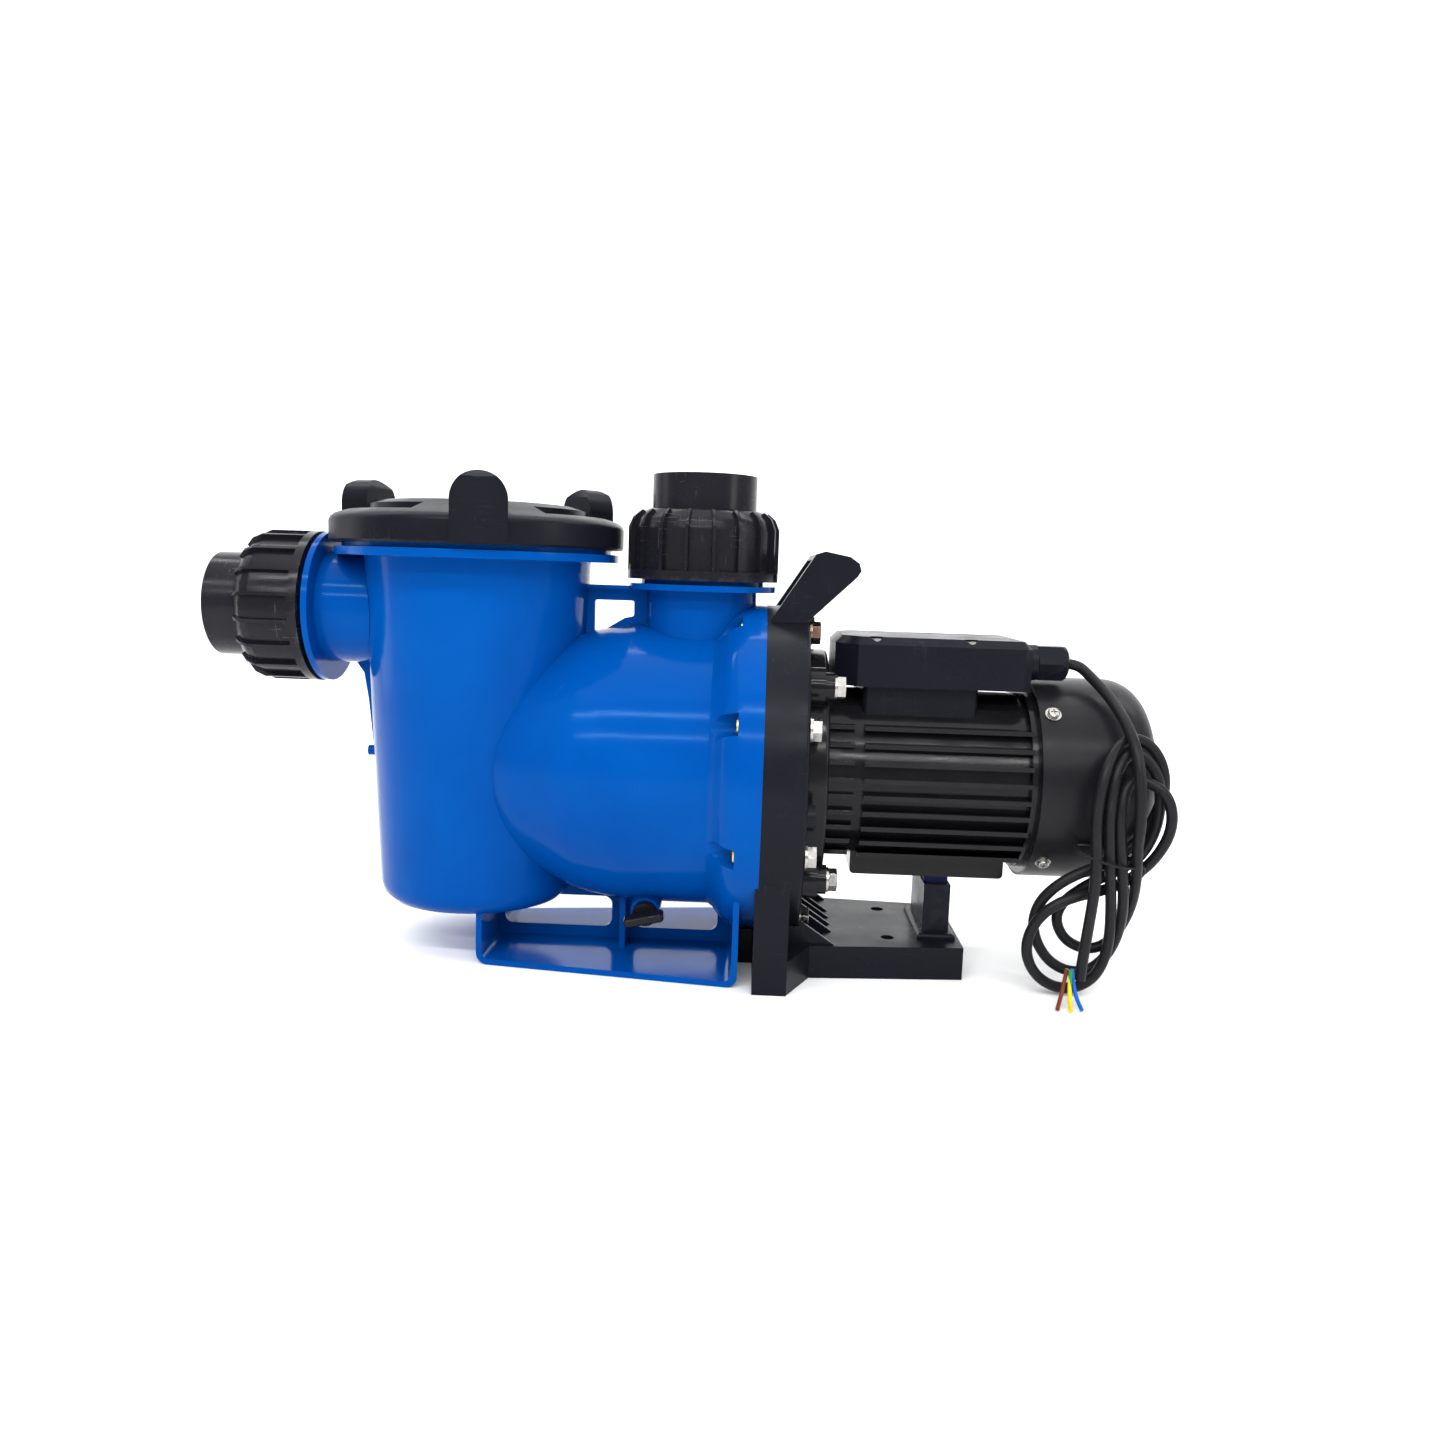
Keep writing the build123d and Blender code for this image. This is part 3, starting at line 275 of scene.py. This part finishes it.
def moulded(name, colour, light, dark, rough, grain, wear=0.35, coat=0.0, ripple=0.0, specular=0.14):
    """Injection-moulded plastic: slight colour drift, fine grain, hairline scuffs, edges rubbed lighter."""
    s = Shader(name, colour, rough[0], coat=coat, specular=specular)
    drift = s.band(s.noise(11.0, 4.0, None, 0.4), 0.35, 0.7, 0.0, 1.0)
    body = s.mix(drift, dark, colour)
    scuff = s.scratches(wear, len(name) * 7.0)
    rub = s.calc("MULTIPLY", s.edges(0.60, 0.72), s.band(s.noise(140.0, 3.0), 0.42, 0.62, 0.0, wear))
    s.colour(s.mix(s.calc("MAXIMUM", scuff, rub), body, light))
    hazy = s.band(s.noise(34.0, 5.0), 0.35, 0.7, rough[0], rough[1])
    s.rough(s.calc("ADD", hazy, s.calc("MULTIPLY", scuff, 0.35)))
    s.bump(s.noise(grain[0], 2.0), grain[1], grain[2])
    if ripple:
        s.bump(s.noise(26.0, 1.0), ripple, 0.0012)
    return s


def painted(name, colour, light, rough, peel, dust, specular=0.2):
    """Paint over cast or pressed metal: orange peel, a little dust on top and rubbed edges."""
    s = Shader(name, colour, rough[0], specular=specular)
    drift = s.band(s.noise(40.0, 4.0), 0.35, 0.7, 0.0, 1.0)
    body = s.mix(drift, tuple(c * 0.7 for c in colour), colour)
    up = s.add("ShaderNodeSeparateXYZ")
    s.link(s.add("ShaderNodeNewGeometry").outputs["Normal"], up.inputs[0])
    patches = s.band(s.noise(260.0, 5.0), 0.3, 0.7, 0.2, 1.0)
    settled = s.calc("MULTIPLY", s.band(up.outputs["Z"], 0.3, 1.0, 0.0, dust), patches)
    dusty = s.mix(settled, body, (0.16, 0.15, 0.14))
    chips = s.calc("MULTIPLY", s.edges(0.64, 0.76), s.band(s.noise(420.0, 2.0), 0.5, 0.62, 0.0, 0.7))
    s.colour(s.mix(chips, dusty, light))
    uneven = s.band(s.noise(60.0, 3.0), 0.3, 0.7, rough[0], rough[1])
    s.rough(s.calc("ADD", uneven, s.calc("MULTIPLY", settled, 0.5)))
    s.bump(s.noise(peel[0], 2.0), peel[1], peel[2])
    return s


def bare_metal(name, colour, stain, rough, brush, stained=0.25):
    """Bare metal with turning or brushing marks and faint staining."""
    s = Shader(name, colour, rough[0], metallic=1.0)
    tarnish = s.band(s.noise(170.0, 4.0), 0.5, 0.72, 0.0, stained)
    s.colour(s.mix(tarnish, colour, stain))
    s.rough(s.band(s.noise(500.0, 3.0, brush), 0.3, 0.7, rough[0], rough[1]))
    s.bump(s.noise(1400.0, 2.0, brush), 0.12, 0.00005)
    return s


BROWNED_BOLT = (0.0905, -0.0398, 0.2281)       # the one head that has gone brown
BROWNED_REACH = 0.012
STRIPE_EDGE, STRIPE_LEAN = 0.2621, 0.22         # where the core turns from yellow to green


def make_plastics(made):
    made["blue_plastic"] = moulded(
        "blue_moulding", (0.0001, 0.064, 0.300), (0.03, 0.15, 0.42), (0.0001, 0.051, 0.26), (0.11, 0.17),
        (1500.0, 0.04, 0.00005), wear=0.06, ripple=0.04, specular=0.08)
    made["blue_plastic"].set("Specular Tint", (0.3, 0.65, 1.0, 1.0))
    made["black_plastic"] = moulded(
        "black_moulding", (0.0055, 0.006, 0.010), (0.08, 0.08, 0.09), (0.006, 0.0065, 0.010), (0.26, 0.40),
        (2600.0, 0.12, 0.00008), wear=0.12, specular=0.09)
    made["union_plastic"] = moulded(
        "union_moulding", (0.009, 0.0085, 0.0125), (0.13, 0.11, 0.13), (0.007, 0.007, 0.009), (0.16, 0.30),
        (900.0, 0.06, 0.00008), wear=0.35, ripple=0.04, specular=0.15)
    made["white_plastic"] = moulded(
        "white_moulding", (0.72, 0.72, 0.68), (0.86, 0.86, 0.84), (0.62, 0.61, 0.56), (0.35, 0.5),
        (1800.0, 0.08, 0.00008), wear=0.2)
    made["grey_plastic"] = moulded(
        "grey_moulding", (0.10, 0.105, 0.115), (0.28, 0.28, 0.29), (0.07, 0.07, 0.08), (0.38, 0.55),
        (2200.0, 0.12, 0.00008), wear=0.25)
    made["cord_sheath"] = moulded(
        "lead_sheath", (0.010, 0.010, 0.012), (0.06, 0.06, 0.065), (0.007, 0.007, 0.008), (0.30, 0.42),
        (3200.0, 0.10, 0.00006), wear=0.2)
    made["seal_rubber"] = moulded(
        "seal_rubber", (0.012, 0.012, 0.012), (0.05, 0.05, 0.05), (0.008, 0.008, 0.008), (0.55, 0.75),
        (2400.0, 0.2, 0.00010), wear=0.15)
    made["pad_rubber"] = moulded(
        "pad_rubber", (0.006, 0.010, 0.065), (0.03, 0.04, 0.12), (0.004, 0.007, 0.045), (0.5, 0.7),
        (2000.0, 0.2, 0.00010), wear=0.15)
    made["wire_brown"] = moulded(
        "core_brown", (0.16, 0.035, 0.014), (0.25, 0.08, 0.04), (0.12, 0.026, 0.010), (0.25, 0.35),
        (2600.0, 0.06, 0.00005), wear=0.1)
    made["wire_blue"] = moulded(
        "core_blue", (0.004, 0.11, 0.46), (0.06, 0.25, 0.65), (0.003, 0.09, 0.38), (0.25, 0.35),
        (2600.0, 0.06, 0.00005), wear=0.1)
    made["wire_yellow_green"] = striped_core()


def striped_core():
    """Yellow insulation that turns green along a slanting line."""
    striped = moulded(
        "core_yellow_green", (0.80, 0.56, 0.01), (0.85, 0.65, 0.1), (0.70, 0.48, 0.01), (0.25, 0.35),
        (2600.0, 0.06, 0.00005), wear=0.1)
    yellow = striped.bsdf.inputs["Base Color"].links[0].from_socket
    side = striped.add("ShaderNodeSeparateXYZ")
    striped.link(striped.place, side.inputs[0])
    lean = striped.calc("ADD", side.outputs["X"], striped.calc("MULTIPLY", side.outputs["Z"], STRIPE_LEAN))
    stripe = striped.band(lean, STRIPE_EDGE, STRIPE_EDGE + 0.0003, 0.0, 1.0)
    striped.colour(striped.mix(stripe, yellow, (0.02, 0.22, 0.05)))
    return striped


def make_paints(made):
    made["motor_paint"] = painted(
        "motor_gloss_paint", (0.0075, 0.0075, 0.009), (0.16, 0.16, 0.17), (0.12, 0.22),
        (900.0, 0.10, 0.00010), 0.02, specular=0.17)
    made["cover_paint"] = painted(
        "cover_satin_paint", (0.0085, 0.008, 0.0105), (0.12, 0.12, 0.13), (0.30, 0.38),
        (2400.0, 0.06, 0.00006), 0.02, specular=0.15)


def fastener_steel():
    """Stainless steel, with one bolt head gone brown."""
    steel = bare_metal(
        "stainless_fastener", (0.40, 0.39, 0.375), (0.26, 0.20, 0.15), (0.18, 0.34), (1.0, 0.3, 0.3), 0.35)
    clean = steel.bsdf.inputs["Base Color"].links[0].from_socket
    reach = steel.add("ShaderNodeVectorMath", operation="DISTANCE")
    steel.link(steel.place, reach.inputs[0])
    reach.inputs[1].default_value = BROWNED_BOLT
    browned = steel.band(reach.outputs["Value"], BROWNED_REACH, BROWNED_REACH + 0.001, 0.85, 0.0)
    steel.colour(steel.mix(browned, clean, (0.16, 0.075, 0.045)))
    return steel


def make_metals(made):
    made["stainless"] = fastener_steel()
    made["shaft_steel"] = bare_metal(
        "ground_shaft", (0.58, 0.58, 0.58), (0.3, 0.26, 0.22), (0.18, 0.30), (1.0, 0.06, 0.06))
    made["bearing_steel"] = bare_metal(
        "bearing_steel", (0.62, 0.62, 0.63), (0.4, 0.36, 0.3), (0.10, 0.20), (1.0, 0.1, 0.1))
    made["brass"] = bare_metal(
        "brass_insert", (0.80, 0.52, 0.14), (0.38, 0.24, 0.08), (0.20, 0.36), (1.0, 0.1, 0.1), 0.3)
    made["lamination"] = bare_metal(
        "electrical_steel", (0.24, 0.24, 0.25), (0.14, 0.12, 0.10), (0.35, 0.5), (1.0, 0.02, 0.02), 0.4)
    sheets = made["lamination"]
    layers = sheets.add("ShaderNodeTexWave", wave_type="BANDS", bands_direction="X", in_Scale=640.0)
    sheets.link(sheets.place, layers.inputs["Vector"])
    sheets.bump(layers.outputs["Fac"], 0.5, 0.0002)
    made["copper"] = bare_metal(
        "varnished_copper", (0.52, 0.17, 0.06), (0.26, 0.08, 0.03), (0.22, 0.4), (1.0, 0.1, 0.1), 0.4)


def clear_dome():
    """Clear plastic of the lid, slightly hazed and scratched."""
    clear = Shader("clear_dome", (0.90, 0.94, 0.97), 0.06, ior=1.49)
    clear.set("Transmission Weight", 0.82)
    haze = clear.scratches(0.5, 31.0)
    clear.colour(clear.mix(haze, (0.90, 0.94, 0.97), (0.98, 0.98, 0.98)))
    cloudy = clear.band(clear.noise(30.0, 4.0), 0.35, 0.7, 0.05, 0.16)
    clear.rough(clear.calc("ADD", cloudy, clear.calc("MULTIPLY", haze, 0.3)))
    clear.bump(clear.noise(70.0, 1.0), 0.08, 0.0008)
    return clear


def make_materials():
    """One material for each material slot of the record."""
    made = {}
    make_plastics(made)
    make_paints(made)
    make_metals(made)
    made["ceramic"] = moulded(
        "ceramic_ring", (0.74, 0.71, 0.64), (0.8, 0.78, 0.72), (0.68, 0.65, 0.58), (0.12, 0.2),
        (1200.0, 0.03, 0.00004), wear=0.1, coat=0.4)
    made["clear_plastic"] = clear_dome()
    return made


materials = make_materials()
slot_of = {part["node"]: part["material_slot"] for part in frame["record"]["subparts"]}
for name, node in nodes.items():
    node.data.materials.clear()
    node.data.materials.append(materials[slot_of[name]].material)
mains_lead.data.materials.append(materials["cord_sheath"].material)
for part in (tie, tie_end):
    part.data.materials.append(materials["cord_sheath"].material)


# ---------------------------------------------------------------- softened edges on the CAD nodes
WELD_GAP = 0.000005
FLAT_ANGLE = radians(0.8)
BEVEL_ANGLE = radians(40)
CRISP_ANGLE = radians(32)


def edge_group():
    """Geometry nodes that shade faces smooth and keep edges above CRISP_ANGLE crisp."""
    tree = bpy.data.node_groups.new("crisp_edges", "GeometryNodeTree")
    tree.interface.new_socket("Geometry", in_out="INPUT", socket_type="NodeSocketGeometry")
    tree.interface.new_socket("Geometry", in_out="OUTPUT", socket_type="NodeSocketGeometry")
    start, end = tree.nodes.new("NodeGroupInput"), tree.nodes.new("NodeGroupOutput")
    faces = tree.nodes.new("GeometryNodeSetShadeSmooth")
    edges = tree.nodes.new("GeometryNodeSetShadeSmooth")
    edges.domain = "EDGE"
    edges.inputs["Shade Smooth"].default_value = False
    angle = tree.nodes.new("GeometryNodeInputMeshEdgeAngle")
    steep = tree.nodes.new("FunctionNodeCompare")
    steep.data_type, steep.operation = "FLOAT", "GREATER_THAN"
    steep.inputs[1].default_value = CRISP_ANGLE
    for source, target in (
        (start.outputs[0], faces.inputs["Geometry"]), (faces.outputs[0], edges.inputs["Geometry"]),
        (angle.outputs["Unsigned Angle"], steep.inputs[0]), (steep.outputs[0], edges.inputs["Selection"]),
        (edges.outputs[0], end.inputs[0]),
    ):
        tree.links.new(source, target)
    return tree


crisp = edge_group()
# Radius in metres on the moulded and cast edges; a node not named here keeps its CAD edges.
ROUNDING = {
    "lid_ring": 0.0012, "bracket_handle": 0.0012, "motor_bracket": 0.0008, "motor_base": 0.0007,
    "pump_foot": 0.0009, "terminal_box_cover": 0.0008,
    "terminal_box_base": 0.0006, "motor_flange": 0.0007, "motor_frame": 0.0006, "gland_nut": 0.0005,
    "casing_bolts": 0.0003, "flange_bolts": 0.0003,
    "volute_casing": 0.0008, "strainer_pot": 0.0006, "suction_neck": 0.0006, "discharge_neck": 0.0006,
    "top_web": 0.0008, "drain_plug": 0.0005, "fan_cover_screws": 0.0002, "brass_inserts": 0.0002,
}
for name, node in nodes.items():
    if "custom_normal" in node.data.attributes:
        node.data.attributes.remove(node.data.attributes["custom_normal"])
    weld = node.modifiers.new("weld", "WELD")
    weld.merge_threshold = WELD_GAP
    if name in ROUNDING:
        flat = node.modifiers.new("flat", "DECIMATE")
        flat.decimate_type = "DISSOLVE"
        flat.angle_limit = FLAT_ANGLE
        soft = node.modifiers.new("soft", "BEVEL")
        soft.width, soft.segments, soft.limit_method = ROUNDING[name], 2, "ANGLE"
        soft.angle_limit = BEVEL_ANGLE
        soft.harden_normals = False
    shade = node.modifiers.new("crisp", "NODES")
    shade.node_group = crisp
    even = node.modifiers.new("even", "WEIGHTED_NORMAL")
    even.mode, even.weight, even.keep_sharp = "FACE_AREA", 100, True


# ---------------------------------------------------------------- studio
# Name, place, point it faces, width and height, watts.
PUMP_MIDDLE = Vector((0.0, 0.0, 0.15))
LIGHTS = (
    ("upper_strip", (-0.14, -1.43, 1.65), PUMP_MIDDLE, (2.4, 0.035), 26.0),
    ("lower_strip", (-0.16, -2.0, 1.24), PUMP_MIDDLE, (2.4, 0.035), 20.0),
    ("overhead_soft", (0.0, -0.35, 2.3), PUMP_MIDDLE, (2.6, 1.8), 24.0),
    ("left_panel", (-0.98, 0.05, 0.42), PUMP_MIDDLE, (0.30, 0.8), 1.2),
    ("right_panel", (1.3, -0.55, 0.75), PUMP_MIDDLE, (0.35, 0.9), 5.0),
    ("backdrop_wash", (0.0, 1.0, 2.9), Vector((0.0, 2.3, 0.7)), (6.5, 0.6), 100.0),
)


def make_floor():
    """A pale floor that curves up into a backdrop, a hair below the pump's lowest point."""
    profile = [(-3.0, 0.0), (1.2, 0.0)]
    profile += [(1.2 + 1.2 * sin(radians(a)), 1.2 - 1.2 * cos(radians(a))) for a in range(10, 91, 10)]
    profile += [(2.4, 5.0)]
    points = [(x, y, z - 0.0002) for y, z in profile for x in (-6.0, 6.0)]
    faces = [(2 * i, 2 * i + 1, 2 * i + 3, 2 * i + 2) for i in range(len(profile) - 1)]
    mesh = bpy.data.meshes.new("studio_floor")
    mesh.from_pydata(points, [], faces)
    mesh.shade_smooth()
    floor = bpy.data.objects.new("studio_floor", mesh)
    scene.collection.objects.link(floor)
    white = Shader("studio_white", (0.93, 0.93, 0.93), 0.6)
    white.bump(white.noise(900.0, 2.0), 0.03, 0.0002)
    mesh.materials.append(white.material)


def make_world():
    world = bpy.data.worlds.new("studio_world")
    world.use_nodes = True
    background = world.node_tree.nodes["Background"]
    background.inputs["Color"].default_value = (0.96, 0.98, 1.0, 1.0)
    background.inputs["Strength"].default_value = 0.65
    scene.world = world


def make_lights():
    for name, place, aim, size, power in LIGHTS:
        light = bpy.data.lights.new(name, "AREA")
        light.shape = "RECTANGLE"
        light.size, light.size_y = size
        light.energy = power
        lamp = bpy.data.objects.new(name, light)
        lamp.location = place
        lamp.rotation_euler = (aim - Vector(place)).to_track_quat("-Z", "Y").to_euler()
        scene.collection.objects.link(lamp)


make_floor()
make_world()
make_lights()
scene.view_settings.view_transform = "Standard"
scene.view_settings.look = "None"
scene.view_settings.exposure = 0.0
